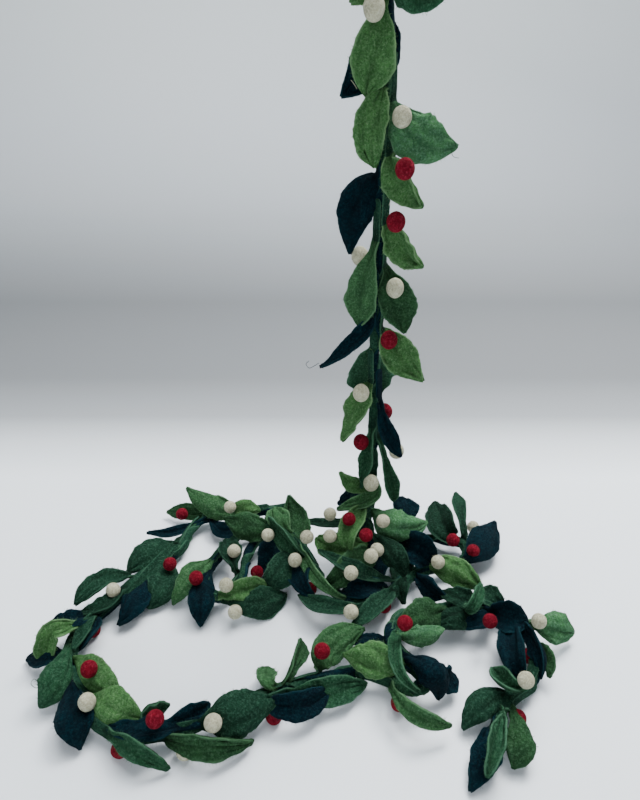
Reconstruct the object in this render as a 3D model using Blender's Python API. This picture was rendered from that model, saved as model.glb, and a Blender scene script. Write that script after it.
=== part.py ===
"""A felt holly garland, about two metres long: it hangs from its top end, and the rest lies below in loops.

Plain pointed leaves cut from three greens of felt are sewn by their necks to a soft felt stem, with white and
red felt berries beside them. The stem and the leaves sewn to it are built in stretches, each one solid, and
each berry is a solid of its own. The origin is the garland's top end, and the surface it lies on is DROP below.
"""

import collections
import math

import bmesh
import bpy
import numpy as np
from mathutils import Vector
from mathutils.bvhtree import BVHTree

# Driving sizes, in metres
DROP = 0.409
STEM_WIDE = 0.0068
STEM_THICK = 0.0052
STEM_SIDES = 6
STEM_STEP = 0.017
LEAF_THICK = 0.0024
NECK_WIDE = 0.0075
BERRY_RADIUS = 0.0060
GAP = 0.0003
SLIVER = 0.00003
LOOSE_VOLUME = 2e-7
CUT_INSET = 0.00025
TOP_END = np.array((0.0, 0.0, DROP))

# The photograph's view: the eye, its tilt below level and its focal length in pixels of the 640 x 800 frame
EYE = np.array((-0.0395, -0.424, 0.335))
TILT = math.radians(26.0)
FOCAL = 640.0
CENTRE = np.array((320.0, 400.0))

# Leaf outline and mesh
LEAF_ROWS = (0.0, 0.20, 0.45, 0.75, 1.0)
LEAF_ACROSS = 2
WIDEST = 0.80
ROUNDNESS = 0.85
TIP_HALF = 0.0010

TONES = {
    "light": (0.085, 0.190, 0.060),
    "mid": (0.030, 0.120, 0.055),
    "dark": (0.004, 0.022, 0.030),
    "white": (0.60, 0.57, 0.46),
    "red": (0.25, 0.010, 0.024),
}

# A leaf's row: root and tip pixels, the height of its middle and of its tip in mm, roll about its length and fold
# across it in degrees, width in mm, felt, and how far its middle lies off the straight line in pixels.
# In the hanging stretches the two heights are distances in front of the stem instead.
Leaf = collections.namedtuple("Leaf", "root tip middle end roll fold wide tone bend", defaults=((0, 0),))

# A berry's row: pixel of its centre, felt, and where the search for its seat starts: None is the eye, a number is
# the height in mm (lying) or the distance in front of the stem in mm (hanging) from where it moves away from the eye
Berry = collections.namedtuple("Berry", "pixel felt start", defaults=(None,))

# A stretch of the stem: its route as rows of pixel x, pixel y and height in mm, its leaves and its berries
Stretch = collections.namedtuple("Stretch", "name hangs route leaves berries")

STRETCHES = [
    Stretch("hanging_strand", True,
        [(391, -63, 0), (389, -10, 1), (389, 40, 0), (388, 100, -1), (384, 165, 0), (382, 200, 1), (380, 245, 0),
         (378, 300, 0), (375, 350, 0), (375, 400, 0), (373, 440, 0), (373, 475, 0), (369, 500, 1)],
        [
            Leaf((391, -38), (432, 16), 14, 24, 15, 25, 28, "mid"),
            Leaf((390, -46), (350, 3), 18, 28, -20, 25, 28, "light"),
            Leaf((390, -4), (371, 96), 9, 6, 0, 30, 29, "light", (-3, 0)),
            Leaf((393, 14), (341, 97), -10, -12, 0, 15, 28, "dark", (8, 2)),
            Leaf((381, 86), (375, 161), 8, 3, 45, 30, 27, "light", (-6, 0)),
            Leaf((388, 104), (457, 147), 8, 8, 0, 25, 28, "mid", (-2, 2)),
            Leaf((391, 152), (422, 208), 16, 30, 40, 50, 27, "light", (-4, 4)),
            Leaf((379, 172), (350, 254), 4, 6, 0, 20, 28, "dark", (-9, -6)),
            Leaf((386, 222), (422, 267), 18, 34, 30, 45, 26, "light", (-3, 4)),
            Leaf((375, 234), (358, 327), 6, 4, 10, 30, 27, "mid", (-3, 0)),
            Leaf((388, 264), (408, 334), 4, 6, -10, 25, 28, "mid", (5, 0)),
            Leaf((378, 303), (318, 364), 10, 12, 65, 20, 26, "dark", (8, 4)),
            Leaf((383, 330), (423, 381), 5, 14, 0, 20, 28, "light", (-3, 4)),
            Leaf((373, 348), (384, 398), -12, -20, 0, 20, 29, "mid", (-4, 0)),
            Leaf((373, 380), (342, 441), 8, 12, 60, 20, 26, "light", (-3, -2)),
            Leaf((380, 398), (402, 458), 8, 12, -60, 20, 26, "dark", (0, -3)),
            Leaf((370, 428), (340, 473), 8, 14, 50, 30, 26, "mid", (3, 14)),
            Leaf((379, 438), (393, 501), 6, 6, -60, 30, 25, "mid", (3, 0)),
            Leaf((379, 478), (337, 509), 8, 6, 60, 20, 24, "mid", (6, 1)),
            Leaf((368, 486), (338, 506), -10, -16, 30, 20, 26, "dark", (0, -3)),
        ],
        [Berry((374, 8), "white"), Berry((402, 117), "white"), Berry((405, 169), "red"), Berry((396, 222), "red"),
         Berry((360, 256), "white", -3), Berry((395, 288), "white"), Berry((389, 340), "red"), Berry((361, 393), "white"),
         Berry((390, 409), "red", -2), Berry((361, 442), "red"), Berry((390, 452), "white", -2),
         Berry((371, 483), "white")]),
    Stretch("pile", False,
        [(367, 513, 34), (366, 530, 27), (374, 547, 19), (398, 549, 12), (426, 538, 9), (448, 541, 9),
         (464, 546, 9), (467, 557, 9), (455, 566, 9), (436, 567, 10), (415, 573, 10), (400, 584, 10),
         (387, 597, 11), (369, 603, 12), (350, 601, 13), (332, 590, 14), (317, 574, 16), (307, 557, 17),
         (299, 545, 18), (289, 536, 17), (276, 531, 15), (262, 537, 12), (251, 548, 10), (246, 562, 9),
         (242, 576, 9), (232, 589, 9), (220, 598, 9), (210, 593, 9), (205, 582, 9), (208, 570, 9),
         (216, 560, 9), (225, 549, 10), (235, 539, 10), (247, 530, 12), (263, 524, 15), (282, 522, 20)],
        [
            Leaf((356, 512), (346, 549), 42, 27, 40, 30, 26, "light"),
            Leaf((345, 522), (300, 518), 27, 28, 70, 20, 26, "dark", (0, -1)),
            Leaf((360, 544), (318, 541), 26, 24, 10, 25, 28, "light", (0, 4)),
            Leaf((371, 519), (428, 525), 42, 36, 0, 30, 28, "mid", (0, -4)),
            Leaf((392, 534), (419, 506), 28, 34, 20, 50, 26, "dark"),
            Leaf((392, 547), (434, 557), 26, 14, 10, 30, 26, "dark", (3, -8)),
            Leaf((376, 530), (405, 575), 36, 24, 10, 25, 28, "mid"),
            Leaf((393, 543), (420, 561), 22, 14, 0, 20, 24, "mid"),
            Leaf((362, 562), (328, 586), 20, 8, 0, 20, 28, "light"),
            Leaf((388, 577), (320, 552), 26, 30, 55, 20, 26, "mid", (0, 6)),
            Leaf((374, 582), (343, 593), 22, 12, 30, 20, 26, "dark"),
            Leaf((452, 543), (437, 503), 20, 14, 0, 25, 30, "light"),
            Leaf((464, 535), (456, 496), 22, 24, 30, 30, 26, "mid"),
            Leaf((464, 558), (495, 525), 18, 12, 0, 25, 30, "dark"),
            Leaf((431, 562), (482, 587), 18, 8, 0, 25, 28, "light"),
            Leaf((412, 571), (445, 594), 20, 20, 40, 20, 26, "dark"),
            Leaf((366, 604), (301, 596), 14, 9, 40, 20, 26, "mid", (0, 3)),
            Leaf((388, 596), (353, 623), 22, 14, 20, 20, 27, "mid"),
            Leaf((305, 560), (312, 592), 24, 22, 10, 20, 27, "dark"),
            Leaf((292, 558), (266, 588), 22, 8, 0, 20, 30, "mid"),
            Leaf((272, 533), (227, 520), 26, 22, 0, 25, 28, "light"),
            Leaf((302, 542), (289, 497), 24, 40, 10, 30, 27, "mid"),
            Leaf((294, 536), (273, 512), 27, 32, 0, 20, 26, "mid"),
            Leaf((308, 563), (268, 519), 30, 28, -55, 20, 27, "mid"),
            Leaf((275, 545), (258, 568), 12, 4, 20, 20, 26, "dark"),
            Leaf((242, 574), (225, 543), 14, 6, 20, 40, 26, "mid"),
            Leaf((212, 566), (176, 601), 16, 4, 10, 20, 28, "light"),
            Leaf((204, 572), (201, 624), 14, 3, 0, 20, 28, "dark"),
            Leaf((218, 592), (264, 585), 19, 13, 10, 20, 28, "light"),
            Leaf((222, 600), (283, 597), 12, 4, 0, 20, 28, "mid"),
        ],
        [Berry((349, 519), "red"), Berry((330, 514), "white"), Berry((330, 536), "white"),
         Berry((383, 521), "white"), Berry((366, 535), "red"), Berry((377, 550), "white"),
         Berry((371, 556), "white"), Berry((351, 573), "white"), Berry((351, 612), "white"),
         Berry((438, 562), "white"), Berry((453, 540), "red"), Berry((473, 527), "white"),
         Berry((473, 551), "red"), Berry((307, 537), "white"),
         Berry((295, 560), "white"), Berry((268, 535), "white"), Berry((267, 585), "red", 10), Berry((234, 551), "white"),
         Berry((226, 585), "white"), Berry((196, 578), "red"), Berry((235, 612), "white")]),
    Stretch("far_arc", False,
        [(302, 517, 22), (296, 508, 19), (278, 508, 15), (257, 511, 12), (232, 514, 10), (210, 516, 9),
         (197, 524, 9), (188, 536, 9), (180, 548, 9), (168, 558, 9), (152, 570, 9), (135, 582, 9),
         (118, 597, 9), (103, 610, 9)],
        [
            Leaf((203, 516), (146, 536), 10, 4, 75, 10, 24, "dark", (2, 3)),
            Leaf((200, 509), (169, 512), 8, 5, 30, 20, 26, "light"),
            Leaf((232, 515), (190, 490), 22, 28, 0, 25, 28, "mid"),
            Leaf((232, 510), (259, 510), 26, 26, 0, 20, 26, "light"),
            Leaf((250, 522), (222, 527), 8, 5, 20, 20, 24, "dark"),
            Leaf((172, 546), (129, 574), 18, 10, 10, 20, 28, "mid"),
            Leaf((168, 566), (150, 606), 14, 4, 0, 20, 29, "light"),
            Leaf((149, 574), (119, 624), 12, 4, 30, 20, 27, "dark"),
            Leaf((130, 580), (77, 603), 20, 14, 20, 30, 26, "mid", (-2, -6)),
            Leaf((124, 594), (79, 613), 19, 19, 50, 30, 25, "mid"),
        ],
        [Berry((230, 507), "white"), Berry((182, 514), "red"), Berry((170, 564), "red"),
         Berry((113, 592), "white", 9)]),
    Stretch("near_arc", False,
        [(84, 626, 10), (73, 642, 10), (69, 658, 10), (72, 675, 10), (79, 691, 10), (88, 707, 9),
         (98, 721, 9), (112, 731, 9), (132, 735, 9), (155, 733, 9), (178, 729, 9), (200, 724, 9), (222, 716, 9),
         (250, 703, 9), (272, 694, 9), (292, 687, 9), (315, 680, 10), (340, 674, 10), (362, 671, 11)],
        [
            Leaf((86, 627), (78, 648), 14, 12, 40, 20, 26, "dark"),
            Leaf((84, 624), (46, 630), 18, 13, 40, 20, 26, "dark", (0, -4)),
            Leaf((74, 642), (35, 636), 30, 26, 0, 40, 28, "light"),
            Leaf((68, 648), (39, 704), 18, 6, 0, 20, 28, "mid"),
            Leaf((66, 654), (29, 660), 12, 3, 0, 20, 24, "dark"),
            Leaf((76, 668), (126, 694), 16, 8, 0, 20, 28, "light"),
            Leaf((83, 702), (140, 717), 16, 13, 0, 20, 28, "light"),
            Leaf((76, 686), (78, 746), 14, 4, 0, 20, 28, "dark", (-2, 0)),
            Leaf((138, 728), (169, 705), 13, 12, 50, 30, 22, "mid"),
            Leaf((112, 740), (168, 769), 12, 3, 45, 20, 26, "mid", (4, -4)),
            Leaf((160, 724), (207, 702), 14, 3, 50, 20, 26, "dark"),
            Leaf((178, 742), (253, 742), 8, 4, 10, 20, 28, "light", (0, 4)),
            Leaf((206, 724), (276, 698), 20, 12, 0, 25, 29, "mid"),
            Leaf((276, 694), (270, 669), 16, 2, 0, 20, 26, "light"),
            Leaf((284, 690), (301, 643), 18, 12, 50, 40, 25, "mid"),
            Leaf((276, 708), (329, 690), 16, 12, 30, 20, 26, "dark"),
            Leaf((294, 690), (364, 682), 12, 5, 30, 20, 26, "mid"),
            Leaf((318, 657), (360, 632), 20, 18, 0, 25, 28, "light"),
        ],
        [Berry((89, 669), "red"), Berry((87, 702), "white"), Berry((155, 719), "red"),
         Berry((121, 752), "red", 8), Berry((185, 752), "white", 6), Berry((213, 723), "white"),
         Berry((274, 719), "red", 8), Berry((322, 651), "red")]),
    Stretch("tail", False,
        [(388, 679, 12), (406, 689, 12), (421, 690, 13), (424, 678, 16), (413, 665, 18), (399, 655, 19),
         (392, 642, 20), (391, 628, 20), (400, 617, 18), (418, 612, 14), (440, 608, 11), (462, 606, 10),
         (484, 609, 10), (504, 613, 10), (518, 620, 10), (527, 634, 10), (533, 650, 9), (535, 668, 9),
         (530, 684, 9), (517, 692, 9), (506, 702, 9), (501, 716, 9), (497, 732, 9), (490, 750, 8),
         (485, 764, 7)],
        [
            Leaf((398, 668), (350, 656), 24, 20, 0, 20, 29, "light"),
            Leaf((388, 640), (354, 642), 18, 4, 40, 20, 24, "dark"),
            Leaf((411, 655), (446, 692), 22, 15, 4, 20, 31, "dark"),
            Leaf((400, 690), (450, 726), 18, 16, 50, 20, 26, "mid", (0, 3)),
            Leaf((402, 626), (445, 605), 26, 16, 0, 25, 28, "light"),
            Leaf((396, 636), (440, 632), 28, 18, 10, 40, 26, "mid"),
            Leaf((468, 604), (438, 628), 18, 14, 0, 20, 28, "mid"),
            Leaf((478, 608), (448, 592), 18, 14, 30, 30, 26, "mid"),
            Leaf((505, 608), (480, 593), 16, 3, 0, 20, 25, "mid"),
            Leaf((476, 616), (523, 618), 22, 22, 0, 25, 30, "dark", (0, -2)),
            Leaf((492, 618), (461, 622), 18, 14, 20, 20, 24, "dark"),
            Leaf((526, 630), (573, 631), 18, 6, 0, 20, 28, "mid"),
            Leaf((520, 618), (536, 690), 16, 3, 0, 70, 32, "dark", (-4, 0)),
            Leaf((540, 645), (549, 676), 18, 18, 40, 20, 24, "mid"),
            Leaf((535, 694), (493, 671), 20, 18, 45, 40, 24, "mid"),
            Leaf((505, 692), (464, 727), 14, 4, 0, 20, 28, "mid", (-4, -6)),
            Leaf((507, 704), (521, 768), 12, 5, 0, 25, 28, "light", (4, 0)),
            Leaf((503, 712), (489, 775), 18, 10, 0, 75, 26, "mid"),
            Leaf((497, 726), (470, 790), 8, 3, 0, 15, 28, "dark"),
        ],
        [Berry((405, 623), "red"), Berry((490, 621), "red"),
         Berry((539, 621), "white"), Berry((526, 680), "white"), Berry((516, 719), "red", 8)]),
]


def sight_lines(pixels):
    """Directions from the eye through pixels of the frame, each one metre deep along the view."""
    across = (pixels[:, 0] - CENTRE[0]) / FOCAL
    up = (CENTRE[1] - pixels[:, 1]) / FOCAL
    return np.stack([across, math.cos(TILT) + up * math.sin(TILT), up * math.cos(TILT) - math.sin(TILT)], axis=1)


def place(pixels, distances, hangs):
    """Points on the sight lines, at distances in mm: above the surface or, where it hangs, in front of the stem."""
    pixels = np.asarray(pixels, float)
    distances = np.asarray(distances, float) / 1000
    lines = sight_lines(pixels)
    reach = (-distances - EYE[1]) / lines[:, 1] if hangs else (distances - EYE[2]) / lines[:, 2]
    return EYE + lines * reach[:, None]


def unit(vectors):
    return vectors / np.linalg.norm(vectors, axis=-1, keepdims=True)


def smooth_line(points, step):
    """Points about a step apart on the curve that passes smoothly through the given ones (Catmull-Rom)."""
    ends = np.vstack([2 * points[0] - points[1], points, 2 * points[-1] - points[-2]])
    t = np.linspace(0, 1, 24, endpoint=False)[:, None]
    runs = []
    for a, b, c, d in zip(ends, ends[1:], ends[2:], ends[3:]):
        runs.append(0.5 * (2 * b + (c - a) * t + (2 * a - 5 * b + 4 * c - d) * t**2 + (3 * b - a - 3 * c + d) * t**3))
    fine = np.vstack(runs + [points[-1:]])
    along = np.concatenate([[0], np.cumsum(np.linalg.norm(np.diff(fine, axis=0), axis=1))])
    count = max(2, round(along[-1] / step) + 1)
    even = np.linspace(0, along[-1], count)
    return np.stack([np.interp(even, along, fine[:, axis]) for axis in range(3)], axis=1)


def route_of(stretch):
    rows = np.array(stretch.route, float)
    return place(rows[:, :2], rows[:, 2], stretch.hangs)


def stem_lines():
    """The stem's centre line and its headings: one smooth curve cut into its stretches, a hair apart."""
    routes = [route_of(stretch) for stretch in STRETCHES]
    routes[0][0] = TOP_END
    line = smooth_line(np.vstack(routes), STEM_STEP / 8)
    line[:, 2] = np.maximum(line[:, 2], STEM_THICK / 2)
    headings = unit(np.gradient(line, axis=0))
    cuts = [0]
    for before, after in zip(routes, routes[1:]):
        middle = (before[-1] + after[0]) / 2
        cuts.append(int(np.argmin(np.linalg.norm(line - middle, axis=1))))
    cuts.append(len(line) - 1)
    pieces = []
    for start, end in zip(cuts, cuts[1:]):
        piece = line[start : end + 1]
        along = np.concatenate([[0], np.cumsum(np.linalg.norm(np.diff(piece, axis=0), axis=1))])
        head = 0 if start == cuts[0] else CUT_INSET
        foot = 0 if end == cuts[-1] else CUT_INSET
        even = np.linspace(head, along[-1] - foot, max(3, round(along[-1] / STEM_STEP) + 1))
        heading = headings[start : end + 1]
        pieces.append(tuple(np.stack([np.interp(even, along, rows[:, axis]) for axis in range(3)], axis=1)
                            for rows in (piece, heading)))
    return pieces


def tube(line, headings):
    """Vertices and faces of a slightly flat tube along a line, its wide way turned as little as it can."""
    tangents = unit(headings)
    side = unit(np.cross(tangents[0], (0.3, -1.0, 0.2)))
    sides = []
    for tangent in tangents:
        side = unit(side - tangent * np.dot(side, tangent))
        sides.append(side)
    sides = np.array(sides)
    others = np.cross(tangents, sides)
    angle = (np.arange(STEM_SIDES) + 0.5) * 2 * math.pi / STEM_SIDES
    rings = (line[:, None, :] + sides[:, None, :] * (np.cos(angle) * STEM_WIDE / 2)[None, :, None]
             + others[:, None, :] * (np.sin(angle) * STEM_THICK / 2)[None, :, None])
    rings[..., 2] = np.maximum(rings[..., 2], 0)
    count = len(line)
    faces = []
    for ring in range(count - 1):
        for spoke in range(STEM_SIDES):
            after = (spoke + 1) % STEM_SIDES
            a, b = ring * STEM_SIDES + spoke, ring * STEM_SIDES + after
            faces.append((a, b, b + STEM_SIDES, a + STEM_SIDES))
    faces.append(tuple(reversed(range(STEM_SIDES))))
    faces.append(tuple(range((count - 1) * STEM_SIDES, count * STEM_SIDES)))
    return rings.reshape(-1, 3), faces


def leaf_outline(u, wide):
    """Half the leaf's width at each share of its length: a plain pointed oval on a narrow neck."""
    blade = wide / 2 * np.sin(math.pi * u**WIDEST) ** ROUNDNESS
    neck = NECK_WIDE / 2 * (1 - u)
    return np.maximum(np.maximum(blade, neck), TIP_HALF)


def leaf_middle(leaf, line, hangs):
    """The leaf's three middle points: its root on the stem, its middle and its tip."""
    shown = project(line)
    root = line[int(np.argmin(np.linalg.norm(shown - np.array(leaf.root), axis=1)))]
    halfway = (np.array(leaf.root) + np.array(leaf.tip)) / 2 + np.array(leaf.bend)
    middle, tip = place([halfway, leaf.tip], [leaf.middle, leaf.end], hangs)
    return np.array((root, middle, tip))


def project(points):
    """Pixels of the frame at which points show."""
    away = points - EYE
    deep = away[:, 1] * math.cos(TILT) - away[:, 2] * math.sin(TILT)
    up = away[:, 1] * math.sin(TILT) + away[:, 2] * math.cos(TILT)
    return CENTRE + FOCAL * np.stack([away[:, 0] / deep, -up / deep], axis=1)


def leaf_sheet(leaf, three, rows, across):
    """The leaf's middle surface on a grid: a curve through three points carries a bent cross-section.

    Across the leaf the section is an arc whose curvature is the fold over half the leaf's width. It faces the eye,
    turned by the roll about the middle line, and where it would sink into the surface it lies flat on it.
    """
    u = np.array(rows, float)
    v = np.linspace(-1, 1, across + 1)
    rib = (np.outer(2 * (u - 0.5) * (u - 1), three[0]) + np.outer(-4 * u * (u - 1), three[1])
           + np.outer(2 * u * (u - 0.5), three[2]))
    tangent = unit(np.gradient(rib, u, axis=0))
    facing = EYE - three[1]
    normal = unit(facing - tangent * (tangent @ facing)[:, None])
    side = np.cross(tangent, normal)
    roll = math.radians(leaf.roll)
    normal, side = normal * math.cos(roll) + side * math.sin(roll), side * math.cos(roll) - normal * math.sin(roll)
    curve = math.radians(leaf.fold) / (leaf.wide / 2000)
    reach = np.outer(leaf_outline(u, leaf.wide / 1000), v)
    sheet = (rib[:, None, :] + side[:, None, :] * (np.sin(curve * reach) / curve)[..., None]
             + normal[:, None, :] * ((1 - np.cos(curve * reach)) / curve)[..., None])
    sheet[..., 2] = np.maximum(sheet[..., 2], LEAF_THICK / 2)
    return sheet


def thick_sheet(sheet, thick):
    """Vertices and faces of a closed sheet of even thickness about a grid of points."""
    normals = unit(np.cross(np.gradient(sheet, axis=0), np.gradient(sheet, axis=1)))
    rows, columns = sheet.shape[:2]
    upper = (sheet + normals * thick / 2).reshape(-1, 3)
    lower = (sheet - normals * thick / 2).reshape(-1, 3)
    points = np.vstack([upper, lower])
    points[:, 2] = np.maximum(points[:, 2], 0)
    below = rows * columns
    faces = []
    for i in range(rows - 1):
        for j in range(columns - 1):
            a = i * columns + j
            faces.append((a, a + columns, a + columns + 1, a + 1))
            faces.append((a + below, a + 1 + below, a + columns + 1 + below, a + columns + below))
    rim = [i * columns for i in range(rows)]
    rim += [(rows - 1) * columns + j for j in range(1, columns)]
    rim += [i * columns + columns - 1 for i in range(rows - 2, -1, -1)]
    rim += [j for j in range(columns - 2, 0, -1)]
    for a, b in zip(rim, rim[1:] + rim[:1]):
        faces.append((b, a, a + below, b + below))
    return points, faces


def felt(tone):
    """A matt felt of one tone."""
    name = f"felt_{tone}"
    material = bpy.data.materials.get(name)
    if material is None:
        material = bpy.data.materials.new(name)
        material.use_nodes = True
        shader = material.node_tree.nodes["Principled BSDF"]
        shader.inputs["Base Color"].default_value = (*TONES[tone], 1)
        shader.inputs["Roughness"].default_value = 0.95
        shader.inputs["Metallic"].default_value = 0.0
        material.diffuse_color = (*TONES[tone], 1)
    return material


def add_mesh(name, points, faces, tone, collection):
    mesh = bpy.data.meshes.new(name)
    mesh.from_pydata((points - TOP_END).tolist(), [], faces)
    mesh.materials.append(felt(tone))
    mesh.shade_smooth()
    mesh.set_sharp_from_angle(angle=math.radians(40))
    made = bpy.data.objects.new(name, mesh)
    collection.objects.link(made)
    return made


def build_stretch(stretch, line, headings):
    """One solid: the stretch of stem with its leaves sewn on. Gives its surfaces, for the berries to rest on."""
    points, faces = tube(line, headings)
    stem = add_mesh(stretch.name, points, faces, "mid", bpy.context.scene.collection)
    surfaces = [(points, faces)]
    fine = smooth_line(line, STEM_STEP / 8)
    cutters = bpy.data.collections.new(stretch.name + "_leaves")
    bpy.context.scene.collection.children.link(cutters)
    for number, leaf in enumerate(stretch.leaves, 1):
        sheet = leaf_sheet(leaf, leaf_middle(leaf, fine, stretch.hangs), LEAF_ROWS, LEAF_ACROSS)
        points, faces = thick_sheet(sheet, LEAF_THICK)
        helper = add_mesh(f"{stretch.name}_leaf_{number:02d}", points, faces, leaf.tone, cutters)
        helper.hide_render = True
        helper.display_type = "WIRE"
        surfaces.append((points, faces))
    union = stem.modifiers.new("leaves", "BOOLEAN")
    union.operation = "UNION"
    union.operand_type = "COLLECTION"
    union.collection = cutters
    union.solver = "EXACT"
    union.material_mode = "TRANSFER"
    settle_union(stem, cutters)
    return surfaces


def settle_union(stem, cutters):
    """The union as the stem's own mesh, without the slivers and sealed hollows left between crossing leaves."""
    graph = bpy.context.evaluated_depsgraph_get()
    mesh = bpy.data.meshes.new_from_object(stem.evaluated_get(graph))
    shape = bmesh.new()
    shape.from_mesh(mesh)
    bmesh.ops.dissolve_degenerate(shape, edges=shape.edges, dist=SLIVER)
    bmesh.ops.triangulate(shape, faces=shape.faces)
    shells = sorted(shells_of(shape), key=len)
    for shell in shells[:-1]:
        if volume_of(shell) > LOOSE_VOLUME:
            raise ValueError(f"{stem.name} has a loose piece")
        bmesh.ops.delete(shape, geom=shell, context="FACES")
    if not all(edge.is_manifold for edge in shape.edges):
        raise ValueError(f"{stem.name} isn't one closed solid")
    shape.to_mesh(mesh)
    shape.free()
    stem.modifiers.clear()
    stem.data = mesh
    for helper in list(cutters.objects):
        bpy.data.objects.remove(helper)
    bpy.data.collections.remove(cutters)


def volume_of(shell):
    return sum(face.calc_center_median().dot(face.normal) * face.calc_area() for face in shell) / 3


def shells_of(shape):
    """The faces of each shell of a mesh, as lists: faces belong together across edges that only two of them share."""
    left = set(shape.faces)
    shells = []
    while left:
        waiting = [left.pop()]
        shell = []
        while waiting:
            face = waiting.pop()
            shell.append(face)
            beside = {other for edge in face.edges if len(edge.link_faces) == 2 for other in edge.link_faces} & left
            left -= beside
            waiting += beside
        shells.append(shell)
    return shells


def joined_tree(surfaces):
    """One search tree over all the given surfaces."""
    points, faces, base = [], [], 0
    for some, corners in surfaces:
        points.append(some)
        faces += [tuple(base + corner for corner in face) for face in corners]
        base += len(some)
    return BVHTree.FromPolygons(np.vstack(points).tolist(), faces)


def seat_berry(berry, hangs, tree, seated):
    """The berry's centre, clear of everything by GAP.

    One that shows in front moves away from the eye along its sight line until it touches what carries it. One that
    sits behind leaves takes the clear place nearest to its starting point, then moves up to the nearest felt.
    """
    line = unit(sight_lines(np.array([berry.pixel], float)))[0]
    clear = BERRY_RADIUS + GAP

    def room(centre):
        others = [np.linalg.norm(centre - other) - BERRY_RADIUS - clear for other in seated]
        return min([tree.find_nearest(Vector(centre))[3] - clear, centre[2] - BERRY_RADIUS] + others)

    if berry.start is None:
        centre = EYE + line * 0.20
        while room(centre) > 0.00005:
            centre = centre + line * room(centre)
        return centre
    start = place([berry.pixel], [berry.start], hangs)[0]
    right = np.array((1.0, 0.0, 0.0))
    upward = np.cross(right, line)
    steps = np.linspace(-1, 1, 17)
    shifts = [deep * line * 0.024 + x * right * 0.008 + y * upward * 0.008
              for deep in steps for x in steps for y in steps]
    shifts.sort(key=lambda shift: np.linalg.norm(shift))
    centre = next(start + shift for shift in shifts if room(start + shift) >= 0)
    while room(centre) > 0.00005:
        nearest = np.array(tree.find_nearest(Vector(centre))[0])
        centre = centre + unit(nearest - centre) * room(centre)
    return centre


def build_berries(trees):
    """The berries, each a felt ball of its own, numbered along the garland."""
    seated = []
    number = 0
    for stretch in STRETCHES:
        for berry in stretch.berries:
            number += 1
            centre = seat_berry(berry, stretch.hangs, trees, seated)
            seated.append(centre)
            mesh = bpy.data.meshes.new(f"berry_{number:02d}")
            add_ball(mesh)
            mesh.materials.append(felt(berry.felt))
            mesh.shade_smooth()
            ball = bpy.data.objects.new(f"berry_{number:02d}", mesh)
            ball.location = Vector(centre - TOP_END)
            bpy.context.scene.collection.objects.link(ball)


def add_ball(mesh):
    shape = bmesh.new()
    bmesh.ops.create_icosphere(shape, subdivisions=2, radius=BERRY_RADIUS)
    shape.to_mesh(mesh)
    shape.free()


def main():
    for old in list(bpy.data.objects):
        bpy.data.objects.remove(old)
    surfaces = []
    for stretch, (line, headings) in zip(STRETCHES, stem_lines()):
        surfaces += build_stretch(stretch, line, headings)
    build_berries(joined_tree(surfaces))


main()
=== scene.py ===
# %% [markdown]
# A felt holly garland: a soft stem with pointed felt leaves and felted berries sewn along it. Its top hangs
# straight down and the rest lies below in loops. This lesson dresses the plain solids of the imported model:
# each leaf, the stem and each berry becomes a surface worked out with numpy, and gets a felt that is all
# nodes.

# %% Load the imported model
import collections
import math

import bpy
import numpy as np
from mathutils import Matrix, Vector


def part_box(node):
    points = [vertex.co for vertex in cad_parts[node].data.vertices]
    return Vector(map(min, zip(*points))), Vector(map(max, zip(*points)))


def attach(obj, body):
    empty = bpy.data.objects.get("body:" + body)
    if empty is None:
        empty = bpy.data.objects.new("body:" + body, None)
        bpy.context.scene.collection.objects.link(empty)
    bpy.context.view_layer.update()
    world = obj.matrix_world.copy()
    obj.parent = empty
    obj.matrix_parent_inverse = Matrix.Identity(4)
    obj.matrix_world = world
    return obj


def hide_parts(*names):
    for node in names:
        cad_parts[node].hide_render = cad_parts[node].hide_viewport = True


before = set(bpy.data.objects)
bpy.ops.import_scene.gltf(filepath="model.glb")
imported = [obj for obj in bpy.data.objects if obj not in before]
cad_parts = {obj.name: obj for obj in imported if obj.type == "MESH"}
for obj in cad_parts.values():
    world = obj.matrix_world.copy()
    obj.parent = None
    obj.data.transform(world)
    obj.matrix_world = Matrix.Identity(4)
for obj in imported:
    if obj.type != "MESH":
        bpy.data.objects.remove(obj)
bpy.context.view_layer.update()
DROP = 0.409

# %% [markdown]
# The photograph's view comes first, because every leaf is placed by where it shows in it. The eye looks
# down by TILT from a third of a metre above the surface. A pixel gives a line of sight; a height above the
# surface, or a distance in front of the hanging stem, then picks one point of that line. Places are worked
# out from the surface up. The model's own zero point is the stem's top end, which hangs DROP above the
# surface.

# %% The camera and its lines of sight
EYE = np.array((-0.0395, -0.424, 0.335))
TILT = math.radians(26.0)
FOCAL = 640.0
CENTRE = np.array((320.0, 400.0))
TOP_END = np.array((0.0, 0.0, DROP))

view = bpy.data.cameras.new("photo_view")
view.sensor_width = 36.0
view.lens = 36.0 * FOCAL / 800.0
view.clip_start = 0.01
camera = bpy.data.objects.new("photo_view", view)
camera.location = Vector(EYE - TOP_END)
camera.rotation_euler = (math.pi / 2 - TILT, 0, 0)
bpy.context.scene.collection.objects.link(camera)
bpy.context.scene.camera = camera


def sight_lines(pixels):
    """Directions through pixels of the frame: across + forward + up, for one metre of depth."""
    across = (pixels[:, 0] - CENTRE[0]) / FOCAL
    up = (CENTRE[1] - pixels[:, 1]) / FOCAL
    forward = math.cos(TILT) + up * math.sin(TILT)
    return np.stack([across, forward, up * math.cos(TILT) - math.sin(TILT)], axis=1)


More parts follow.
